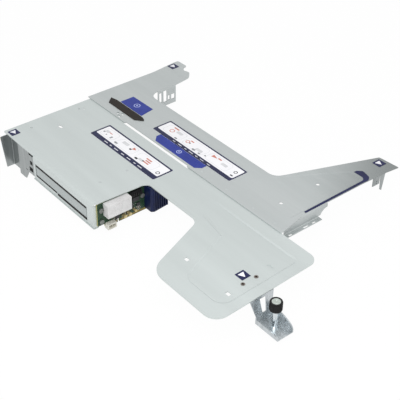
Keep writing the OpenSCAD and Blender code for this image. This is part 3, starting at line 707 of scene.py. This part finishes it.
@dataclass(frozen=True)
class Print:
    """One printed shape, placed from its label's low corner in millimetres."""

    mark: Mark
    x: float
    y: float
    w: float
    h: float

    def outline(self) -> Array:
        """Outer edge of the shape.

        Returns:
            Points x, y from the label's low corner, in millimetres.
        """
        if self.mark in (Mark.RING, Mark.SPOT):
            return disc(self.x, self.y, self.w / 2, self.h / self.w)
        if self.mark is Mark.WEDGE:
            left, right, half = self.x - self.w / 2, self.x + self.w / 2, self.h / 2
            tip = np.array([[left, self.y - half], [right, self.y], [left, self.y + half]])
            return rounded_outline(tip, min(self.w, self.h) * 0.08, 3)
        r = min(self.w, self.h) * 0.24
        return rectangle(self.x - self.w / 2, self.y - self.h / 2, self.x + self.w / 2, self.y + self.h / 2, r)


@dataclass
class Label:
    """A printed label: its CAD film gets a finish, and ink plates lie on it.

    Attributes:
        node: CAD node of the film.
        film: Finish of the film.
        ink_mm: Thickness of the ink plates, drawn thicker than real ink so that they show.
    """

    nodes: dict[str, bpy.types.Object]
    node: str
    film: Finish
    slot: str
    ink_mm: float = 0.03
    layers: dict[str, Shell] = field(default_factory=dict)
    inks: dict[str, Finish] = field(default_factory=dict)

    def ink(self, finish: Finish) -> Shell:
        """The shell that gathers the plates of one ink."""
        self.inks[finish.name] = finish
        return self.layers.setdefault(finish.name, Shell())

    def corner(self) -> tuple[Array, float, Array]:
        """Low corner x, y of the film, its top and its size, in millimetres."""
        low, high = node_mm(self.node)
        return low[:2], high[2], (high - low)[:2]

    def stamp(self, finish: Finish, prints: Iterable[Print], level: int = 0) -> None:
        """Lays printed shapes on the film.

        Args:
            finish: Ink.
            prints: The shapes.
            level: How many inks lie under this one.
        """
        origin, top, _ = self.corner()
        shell = self.ink(finish)
        low = top + level * self.ink_mm
        for item in prints:
            edge = item.outline() + origin
            if item.mark in (Mark.RING, Mark.PANEL):
                middle = edge.mean(0)
                line = 0.9 if item.mark is Mark.RING else 0.35
                reach = np.abs(edge - middle).max(0)
                inner = middle + (edge - middle) * (reach - line) / reach
                shell.frame(edge, inner, low, low + self.ink_mm)
            else:
                shell.plate(edge, low, low + self.ink_mm)

    def build(self) -> list[bpy.types.Object]:
        """Dresses the film and makes one piece of each ink."""
        dress(self.nodes, {self.node: self.film})
        return [
            shell.build(f"{self.node}_{name}", self.inks[name], ROOT, self.slot) for name, shell in self.layers.items()
        ]


@dataclass
class GuideLabel(Label):
    """White label with a dark edge, a dark band with white bars, and generic pictures.

    Attributes:
        band_mm: Width of the dark band along the low side.
        edge_mm: Width of the dark line round the label.
        bars: Start and length of each white bar in the band.
        pictures: Shapes by ink.
    """

    band_mm: float = 5.6
    edge_mm: float = 0.9
    bars: tuple[tuple[float, float], ...] = ()
    pictures: dict[Finish, tuple[Print, ...]] = field(default_factory=dict)

    def build(self) -> list[bpy.types.Object]:
        """Prints the edge, the band, the bars and the pictures.

        Returns:
            One piece for each ink.
        """
        origin, top, size = self.corner()
        length, width = size
        outer = rectangle(0.02, 0.02, length - 0.02, width - 0.02, 1.5)
        inner = rectangle(self.edge_mm, self.band_mm, length - self.edge_mm, width - self.edge_mm, 1.6)
        self.ink(INK_NAVY).frame(outer + origin, inner + origin, top, top + self.ink_mm)
        middle = self.band_mm * 0.48
        self.stamp(INK_WHITE, [Print(Mark.BAR, x + w / 2, middle, w, self.band_mm * 0.13) for x, w in self.bars], 1)
        for finish, prints in self.pictures.items():
            self.stamp(finish, prints)
        return super().build()


@dataclass
class ArrowLabels(Label):
    """The four dark squares, each with a white triangle that points along X."""

    side_mm: float = 10.4

    def build(self) -> list[bpy.types.Object]:
        """Finds each square in the CAD node's mesh and prints a triangle on it.

        Returns:
            One piece for each ink.
        """
        mesh = self.nodes[self.node].data
        points = np.empty(len(mesh.vertices) * 3, np.float32)
        mesh.vertices.foreach_get("co", points)
        points = points.reshape(-1, 3) / MM
        shell = self.ink(INK_WHITE)
        for corner in self.low_corners(points):
            near = np.abs(points[:, :2] - corner[:2] - self.side_mm / 2).max(1) < self.side_mm * 0.6
            top = points[near, 2].max()
            tip = corner[:2] + self.side_mm * np.array([[0.2, 0.16], [0.84, 0.5], [0.2, 0.84]])
            shell.plate(rounded_outline(tip, 0.3, 3), top, top + self.ink_mm)
        return super().build()

    def low_corners(self, points: Array) -> list[Array]:
        """Low corner of each square, as the least coordinates of its vertices.

        Two vertices belong to one square where both their x and their y differ by less than 1.2 sides, and each is
        filed under the first vertex of its square.

        Args:
            points: The films' vertices, in millimetres.

        Returns:
            One point for each square.
        """
        gap = np.abs(points[:, None, :2] - points[None, :, :2]).max(2)
        first = (gap < self.side_mm * 1.2).argmax(1)
        return [points[first == k].min(0) for k in np.unique(first)]


@dataclass
class GripLabel(Label):
    """Blue label with a small generic sign: a ring round a spot in a paler ink.

    Attributes:
        sign: Place of the sign's middle from the film's low corner.
        scale: Size of the sign.
    """

    sign: tuple[float, float] | None = None
    scale: float = 1.0

    def build(self) -> list[bpy.types.Object]:
        """Prints the sign.

        Returns:
            One piece for each ink.
        """
        if self.sign:
            x, y = self.sign
            s = self.scale
            self.stamp(
                INK_PALE_BLUE,
                [Print(Mark.RING, x, y, 5.6 * s, 5.6 * s), Print(Mark.BAR, x, y, 1.4 * s, 1.4 * s)],
            )
        return super().build()


@dataclass
class RiserBoard:
    """The upright board with its connectors and small parts.

    Attributes:
        nodes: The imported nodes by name.
        finger_pitch_mm: Pitch of the edge contacts.
        finger_w_mm: Their width.
        finger_h_mm: Their height.
        finger_row_mm: Where their row starts and ends, from the board's low end.
        key_mm: Where the gap in that row starts and ends.
        foil_mm: Their thickness, more than real plating so that they show.
        foot_mm: Bare board under them.
        pin_pitch_mm: Pitch of the solder cones in a row.
        pin_row_mm: Where a row starts and ends, from the card connector's low end.
        pin_level_mm: Height of each row above or below the connector's middle.
        cone_radii_mm: Radius of each ring of a cone.
        cone_reach_mm: How far each ring stands off the board.
        cone_sides: Columns round a cone.
        chip_mm: Length, width and height of a ceramic part.
        chip_end_mm: Length and height of its tinned ends.
        chip_rows_mm: Places of the ceramic parts along the board.
        chip_levels_mm: Their heights above the board's foot.
        scatter_mm: How far a part may lie from its place, along the board and upwards.
        ridge_mm: Start, pitch, width and height of the cable connector's ridges.
        ridge_ends_mm: Smooth length at either end of a ridge.
        mouth_mm: Start of the contacts in the connector's mouth, across and upwards.
        mouth_pitch_mm: Their pitch, across and upwards.
        blade_mm: Their width, and how deep in the mouth they start and end.
        seed: Seed of the scatter.
    """

    nodes: dict[str, bpy.types.Object]
    finger_pitch_mm: float = 1.0
    finger_w_mm: float = 0.7
    finger_h_mm: float = 2.2
    finger_row_mm: tuple[float, float] = (10.5, 64.5)
    key_mm: tuple[float, float] = (23.1, 26.8)
    foil_mm: float = 0.03
    foot_mm: float = 0.5
    pin_pitch_mm: float = 1.27
    pin_row_mm: tuple[float, float] = (2.0, 34.0)
    pin_level_mm: float = 2.0
    cone_radii_mm: tuple[float, ...] = (0.42, 0.3, 0.14)
    cone_reach_mm: tuple[float, ...] = (0.0, 0.3, 0.7)
    cone_sides: int = 8
    chip_mm: tuple[float, float, float] = (2.0, 1.2, 0.55)
    chip_end_mm: tuple[float, float] = (0.35, 0.58)
    chip_rows_mm: tuple[float, ...] = (16.2, 18.9, 21.6, 28.4, 31.1, 33.8, 36.5, 47.6, 50.2)
    chip_levels_mm: tuple[float, ...] = (3.4, 5.6, 7.8)
    scatter_mm: tuple[float, float] = (0.5, 0.3)
    ridge_mm: tuple[float, float, float, float] = (1.6, 2.3, 0.7, 0.25)
    ridge_ends_mm: tuple[float, float] = (1.0, 1.4)
    mouth_mm: tuple[float, float] = (2.0, 4.4)
    mouth_pitch_mm: tuple[float, float] = (3.9, 4.6)
    blade_mm: tuple[float, float, float] = (0.8, 7.5, 1.0)
    seed: int = 11

    def dress(self) -> None:
        """Finishes of the board and of every moulded part on it."""
        low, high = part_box("riser_board")
        # Dark green solder mask: fine tracks show through it, and the cut edge stays pale.
        mask = BoardFinish(
            "solder_mask_over_copper", "13241A", "1B3324", roughness=0.4, spot_mm=6, grain_mm=0.4,
            relief_mm=0.01, gloss=0.3, faces_x_m=(low.x, high.x),
        )
        dress(
            self.nodes,
            {
                "riser_board": mask,
                "slot_connector": BLACK_NYLON,
                "cable_connector": WHITE_NYLON,
                "signal_header": IVORY_NYLON,
                "pin_strip": BLACK_NYLON,
                "board_chips": CHIP_RESIN,
                "board_capacitors": CAN_ALUMINIUM,
                "guide_block": BLUE_NYLON,
                "board_screws": DULL_SCREW,
            },
        )

    def fingers(self) -> bpy.types.Object:
        """Gold edge contacts in a row on both faces of the board's foot.

        Returns:
            The contacts.
        """
        low, high = node_mm("riser_board")
        shell = Shell()
        start, end = (low[1] + v for v in self.finger_row_mm)
        key_start, key_end = (low[1] + v for v in self.key_mm)
        foot = low[2] + self.foot_mm
        for y in np.arange(start, end, self.finger_pitch_mm):
            if key_start < y < key_end:
                continue
            for x0, x1 in ((low[0] - self.foil_mm, low[0]), (high[0], high[0] + self.foil_mm)):
                shell.box((x0, y, foot), (x1, y + self.finger_w_mm, foot + self.finger_h_mm))
        return shell.build("edge_contacts", GOLD_CONTACT, ROOT)

    def pins(self) -> bpy.types.Object:
        """Solder cones of the card connector's pins: each is a row of rings that narrow outwards.

        A ring's points are its reach along X, and its radius times cosine and sine of an even angle in Y and Z.

        Returns:
            The cones.
        """
        low, high = node_mm("slot_connector")
        face = node_mm("riser_board")[1][0]
        shell = Shell()
        a = np.linspace(0, 2 * math.pi, self.cone_sides, endpoint=False)
        radius, reach = np.array(self.cone_radii_mm), np.array(self.cone_reach_mm)
        ring = np.stack(
            [
                np.repeat(reach[:, None], self.cone_sides, 1),
                radius[:, None] * np.cos(a)[None, :],
                radius[:, None] * np.sin(a)[None, :],
            ],
            -1,
        )
        middle = (low[2] + high[2]) / 2
        first, last = self.pin_row_mm
        for row, z in enumerate((middle - self.pin_level_mm, middle + self.pin_level_mm)):
            for y in np.arange(low[1] + first + row * self.pin_pitch_mm / 2, low[1] + last, self.pin_pitch_mm):
                shell.wrap(ring + np.array([face, y, z]), False)
        return shell.build("solder_cones", TINNED, ROOT)

    def small_parts(self) -> list[bpy.types.Object]:
        """Ceramic resistors and capacitors with tinned ends, on the board's free outer face.

        Returns:
            The bodies and the ends.
        """
        low, high = node_mm("riser_board")
        draw = np.random.default_rng(self.seed)
        bodies, ends = Shell(), Shell()
        face = high[0]
        length, width, height = self.chip_mm
        end, end_height = self.chip_end_mm
        dy, dz = self.scatter_mm
        for y, z in [(y, z) for y in self.chip_rows_mm for z in self.chip_levels_mm]:
            y, z = low[1] + y + draw.uniform(-dy, dy), low[2] + z + draw.uniform(-dz, dz)
            bodies.box((face, y + end, z), (face + height, y + (length - end), z + width))
            ends.box((face, y, z), (face + end_height, y + end, z + width))
            ends.box((face, y + (length - end), z), (face + end_height, y + length, z + width))
        return [bodies.build("ceramic_parts", CERAMIC, ROOT), ends.build("ceramic_part_ends", TINNED, ROOT)]

    def connector_detail(self) -> list[bpy.types.Object]:
        """Shallow ridges along the cable connector's top and gold contacts in its mouth.

        Returns:
            The ridges and the contacts.
        """
        low, high = node_mm("cable_connector")
        ridges, contacts = Shell(), Shell()
        start, pitch, width, height = self.ridge_mm
        near, far = self.ridge_ends_mm
        for k in range(3):
            x = low[0] + start + k * pitch
            ridges.box((x, low[1] + near, high[2]), (x + width, high[1] - far, high[2] + height))
        across, up = self.mouth_pitch_mm
        blade, deep, shallow = self.blade_mm
        for i in range(2):
            for k in range(3):
                x, z = low[0] + self.mouth_mm[0] + i * across, low[2] + self.mouth_mm[1] + k * up
                contacts.box((x, high[1] - deep, z), (x + blade, high[1] - shallow, z + blade))
        return [
            ridges.build("connector_ridges", WHITE_NYLON, ROOT),
            contacts.build("connector_contacts", GOLD_CONTACT, ROOT),
        ]

    def build(self) -> list[bpy.types.Object]:
        """Dresses the board and adds its small metal parts."""
        self.dress()
        return [self.fingers(), self.pins(), *self.small_parts(), *self.connector_detail()]


@dataclass
class FootAndScrew:
    """The pressed foot with its captive screw.

    Attributes:
        nodes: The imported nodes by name.
        around: Columns round the turned disc.
        disc_radii_mm: Radius of each of its rings.
        disc_heights_mm: Height of each ring from its top.
        disc_sunk_mm: How far its top lies under the sleeve's.
    """

    nodes: dict[str, bpy.types.Object]
    around: int = 48
    disc_radii_mm: tuple[float, ...] = (4.18, 4.18, 4.0, 3.0, 2.8, 2.6, 2.4, 1.2, 0.9, 0.2)
    disc_heights_mm: tuple[float, ...] = (-0.4, -0.12, 0.0, 0.0, -0.12, -0.12, 0.0, 0.0, -0.3, -0.34)
    disc_sunk_mm: float = 0.12

    def dress(self) -> None:
        """Finishes of the foot, bush, ring and knob."""
        dress(
            self.nodes,
            {
                "foot_bracket": ZINC_FOOT,
                "screw_bush": TURNED_STEEL,
                "retaining_ring": SPRING_STEEL,
                "thumbscrew": TURNED_STEEL,
                "knob_sleeve": KNOB_PLASTIC,
            },
        )

    def disc_top(self) -> bpy.types.Object:
        """Turned disc in the knob's top.

        The radius is the row's share of the rim, and the height is a shallow ring groove and a small centre dimple:
        height = top minus groove depth where the radius is near the groove's, minus dimple depth near the axis.

        Returns:
            The disc.
        """
        sleeve_low, sleeve_high = node_mm("knob_sleeve")
        axis = (sleeve_low + sleeve_high)[:2] / 2
        a = np.linspace(0, 2 * math.pi, self.around, endpoint=False)
        r = np.array(self.disc_radii_mm)
        z = np.array(self.disc_heights_mm) + (sleeve_high[2] - self.disc_sunk_mm)
        grid = np.stack(
            [
                axis[0] + r[:, None] * np.cos(a)[None, :],
                axis[1] + r[:, None] * np.sin(a)[None, :],
                np.repeat(z[:, None], self.around, 1),
            ],
            -1,
        )
        shell = Shell()
        shell.wrap(grid, False)
        return shell.build("knob_disc", KNOB_DISC, SCREW)

    def build(self) -> list[bpy.types.Object]:
        """Dresses the foot and adds the disc."""
        self.dress()
        return [self.disc_top()]


# ------------------------------------------------------------------ studio


@dataclass(frozen=True)
class Softbox:
    """A rectangular studio lamp.

    Attributes:
        place: Its middle, in metres.
        aim: The point that it faces.
        size: Its side, in metres.
        watts: Its power.
    """

    name: str
    place: tuple[float, float, float]
    aim: tuple[float, float, float]
    size: float
    watts: float

    def build(self) -> bpy.types.Object:
        """Makes the lamp.

        Returns:
            The lamp.
        """
        lamp = bpy.data.lights.new(self.name, "AREA")
        lamp.shape = "SQUARE"
        lamp.size = self.size
        lamp.energy = self.watts
        made = bpy.data.objects.new(self.name, lamp)
        made.location = self.place
        look = Vector(self.aim) - Vector(self.place)
        made.rotation_euler = look.to_track_quat("-Z", "Y").to_euler()
        bpy.context.scene.collection.objects.link(made)
        return made


@dataclass
class Studio:
    """Pale floor, white surroundings and a softbox."""

    floor_m: float = 6.0
    ambient: float = 0.75
    floor_white: float = 0.97
    lamps: tuple[Softbox, ...] = (Softbox("key_softbox", (0.35, -0.35, 0.5), (0.08, -0.08, 0.04), 0.5, 2.5),)

    def white_where_seen(self, tree: bpy.types.NodeTree) -> bpy.types.NodeSocket:
        """1 for camera, glossy and transmission rays, and 0 for the rest.

        Args:
            tree: A material's or the world's node tree.

        Returns:
            The value socket.
        """
        path = add_node(tree, "ShaderNodeLightPath")
        first = add_node(
            tree,
            "ShaderNodeMath",
            {"operation": "MAXIMUM"},
            {0: path.outputs["Is Camera Ray"], 1: path.outputs["Is Glossy Ray"]},
        )
        both = add_node(
            tree,
            "ShaderNodeMath",
            {"operation": "MAXIMUM"},
            {0: first.outputs[0], 1: path.outputs["Is Transmission Ray"]},
        )
        return both.outputs[0]

    def world(self) -> None:
        """White surroundings that light the object softly."""
        made = bpy.data.worlds.new("studio_white")
        bpy.context.scene.world = made
        made.use_nodes = True
        tree = made.node_tree
        tree.nodes.clear()
        strength = add_node(
            tree, "ShaderNodeMapRange", {"To Min": self.ambient, "To Max": 1.0}, {"Value": self.white_where_seen(tree)}
        )
        light = add_node(
            tree, "ShaderNodeBackground", {"Color": linear("FFFFFF")}, {"Strength": strength.outputs["Result"]}
        )
        add_node(tree, "ShaderNodeOutputWorld", {}, {"Surface": light.outputs[0]})

    def floor(self, height_m: float) -> bpy.types.Object:
        """Wide floor that shows white, with a faint shadow.

        Args:
            height_m: Height of its top, in metres.

        Returns:
            The floor.
        """
        half = self.floor_m / 2 / MM
        shell = Shell()
        shell.box((-half, -half, height_m / MM - 20), (half, half, height_m / MM))
        mesh = bpy.data.meshes.new("studio_floor")
        mesh.from_pydata(np.vstack(shell.points) * MM, [], shell.faces)
        made = bpy.data.objects.new("studio_floor", mesh)
        bpy.context.scene.collection.objects.link(made)
        paint = bpy.data.materials.new("white_studio_paper")
        paint.use_nodes = True
        tree = paint.node_tree
        tree.nodes.clear()
        matt = add_node(tree, "ShaderNodeBsdfDiffuse", {"Color": linear("F4F4F4")})
        glow = add_node(tree, "ShaderNodeEmission", {"Color": linear("FFFFFF"), "Strength": 1.0})
        seen = add_node(
            tree,
            "ShaderNodeMapRange",
            {"To Min": 0.0, "To Max": self.floor_white},
            {"Value": self.white_where_seen(tree)},
        )
        mix = add_node(
            tree, "ShaderNodeMixShader", {}, {0: seen.outputs["Result"], 1: matt.outputs[0], 2: glow.outputs[0]}
        )
        add_node(tree, "ShaderNodeOutputMaterial", {}, {"Surface": mix.outputs[0]})
        mesh.materials.append(paint)
        made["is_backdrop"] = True
        return made

    def build(self, floor_z_m: float) -> None:
        """Builds the surroundings, the floor and the lamps.

        Args:
            floor_z_m: Height of the floor's top, in metres.
        """
        self.world()
        self.floor(floor_z_m)
        for lamp in self.lamps:
            lamp.build()


@dataclass(frozen=True)
class StudioCamera:
    """The camera, in metres, with its roll to the right in degrees."""

    place: tuple[float, float, float] = (0.6130, -0.53275, 0.5975)
    forward: tuple[float, float, float] = (-0.6165, 0.5173, -0.5936)
    roll_deg: float = 0.9465
    lens_mm: float = 84.86

    def build(self) -> bpy.types.Object:
        """Makes the camera and hands it to the scene.

        Returns:
            The camera.
        """
        data = bpy.data.cameras.new("studio_camera")
        data.sensor_width = 36.0
        data.lens = self.lens_mm
        data.clip_start = 0.05
        data.clip_end = 20.0
        made = bpy.data.objects.new("studio_camera", data)
        look = Vector(self.forward).normalized()
        right = look.cross(Vector((0, 0, 1))).normalized()
        up = right.cross(look)
        c, s = math.cos(math.radians(self.roll_deg)), math.sin(math.radians(self.roll_deg))
        x, y = right * c + up * s, up * c - right * s
        turn = Matrix((x, y, -look)).transposed().to_4x4()
        made.matrix_world = Matrix.Translation(Vector(self.place)) @ turn
        bpy.context.scene.collection.objects.link(made)
        bpy.context.scene.camera = made
        return made


# ------------------------------------------------------------------ the whole part


def cage_label(nodes: dict[str, bpy.types.Object]) -> GuideLabel:
    """The white label on the cage.

    Args:
        nodes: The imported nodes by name.

    Returns:
        The label, ready to build.
    """
    bars = ((23, 6), (33, 3.4), (41, 7), (54, 5), (64, 6.4), (76, 3.4), (83, 7))
    return GuideLabel(
        nodes, "cage_label", FILM_WHITE, "label_white_cage", band_mm=6.6, edge_mm=2.1, bars=bars,
        pictures={
            INK_PALE_GREY: (
                Print(Mark.PANEL, 16, 15.4, 22, 14), Print(Mark.PANEL, 47, 15.4, 30, 14),
                Print(Mark.PANEL, 83, 15.4, 32, 14), Print(Mark.BAR, 10, 17, 6, 4), Print(Mark.BAR, 42, 18, 10, 4.4),
                Print(Mark.BAR, 77, 12, 8, 3.4),
            ),
            INK_GREY: (
                Print(Mark.SPOT, 7.2, 14.1, 2.6, 2.6), Print(Mark.BAR, 22, 12.6, 2.4, 4),
                Print(Mark.BAR, 33.6, 10.8, 5.2, 2.4), Print(Mark.BAR, 71.2, 10, 4.6, 2.6),
                Print(Mark.WEDGE, 14, 12.2, 2.4, 2.4),
            ),
            INK_DARK: (
                Print(Mark.SPOT, 53.6, 15.4, 3.4, 2.6), Print(Mark.SPOT, 71.2, 10.0, 3.6, 2.4),
                Print(Mark.RING, 107.0, 11.4, 5.0, 5.0),
            ),
            INK_RED: (
                Print(Mark.BAR, 15.5, 17.2, 5, 1.1), Print(Mark.WEDGE, 57.0, 18.6, 5.4, 5.0),
                Print(Mark.BAR, 84, 12.6, 10, 1.7), Print(Mark.BAR, 84.8, 15.6, 8, 1.7),
                Print(Mark.BAR, 83, 18.6, 9, 1.7),
            ),
        },
    )


def front_label(nodes: dict[str, bpy.types.Object]) -> GuideLabel:
    """The white label on the front sheet.

    Args:
        nodes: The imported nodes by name.

    Returns:
        The label, ready to build.
    """
    bars = ((33, 4), (42, 6), (53, 3.4), (60, 7), (71, 4), (79, 6), (90.4, 5))
    return GuideLabel(
        nodes, "front_label", FILM_WHITE, "label_white_front", band_mm=5.4, edge_mm=1.9, bars=bars,
        pictures={
            INK_PALE_GREY: (
                Print(Mark.PANEL, 22, 14.4, 30, 14), Print(Mark.PANEL, 58, 14.4, 34, 14),
                Print(Mark.PANEL, 96, 14.4, 34, 14), Print(Mark.BAR, 27, 17, 9, 4), Print(Mark.BAR, 66, 12, 10, 4),
                Print(Mark.BAR, 104, 15, 9, 4),
            ),
            INK_GREY: (
                Print(Mark.BAR, 31.4, 7.6, 4, 2.2), Print(Mark.BAR, 61, 8.6, 5, 2.4),
                Print(Mark.BAR, 70.4, 8.4, 3.4, 2.0), Print(Mark.WEDGE, 78.4, 10.6, 3, 3),
            ),
            INK_DARK: (
                Print(Mark.SPOT, 49, 13.4, 2.0, 2.0), Print(Mark.RING, 121.4, 15.6, 4.6, 4.6),
                Print(Mark.BAR, 122.6, 8.6, 3.8, 1.8),
            ),
            INK_RED: (
                Print(Mark.RING, 17.4, 13.9, 6.4, 6.0), Print(Mark.BAR, 17.8, 20.2, 8, 1.8),
                Print(Mark.RING, 45.2, 13.6, 5.2, 5.2), Print(Mark.BAR, 48.6, 17.4, 5, 1.6),
                Print(Mark.WEDGE, 86.6, 17.2, 8.0, 4.6), Print(Mark.BAR, 93.2, 18.4, 5.4, 1.8),
            ),
        },
    )


def main() -> None:
    """Builds the part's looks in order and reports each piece."""
    logging.basicConfig(level=logging.INFO, format="%(name)s: %(message)s")
    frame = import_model()
    packed = [list(v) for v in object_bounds()]
    nodes = frame["nodes"]
    StudioCamera().build()
    made = SheetMetal(nodes).build()
    made += RiserBoard(nodes).build()
    made += FootAndScrew(nodes).build()
    made += cage_label(nodes).build()
    made += front_label(nodes).build()
    made += GripLabel(nodes, "left_grip_label", FILM_BLUE, "label_blue_left", sign=(19.0, 9.6), scale=1.4).build()
    made += GripLabel(nodes, "joint_grip_label", FILM_BLUE, "label_blue_joint", sign=(39.6, 6.2), scale=1.1).build()
    made += GripLabel(nodes, "arm_grip_label", FILM_NAVY, "label_blue_arm").build()
    made += ArrowLabels(nodes, "arrow_labels", FILM_NAVY, "label_arrow").build()
    for piece in made:
        LOG.info("%s: %d faces", piece.name, len(piece.data.polygons))
    Studio().build(packed[0][2] - 0.0002)
    bpy.context.scene.view_settings.view_transform = "Standard"


if __name__ == "__main__":
    main()
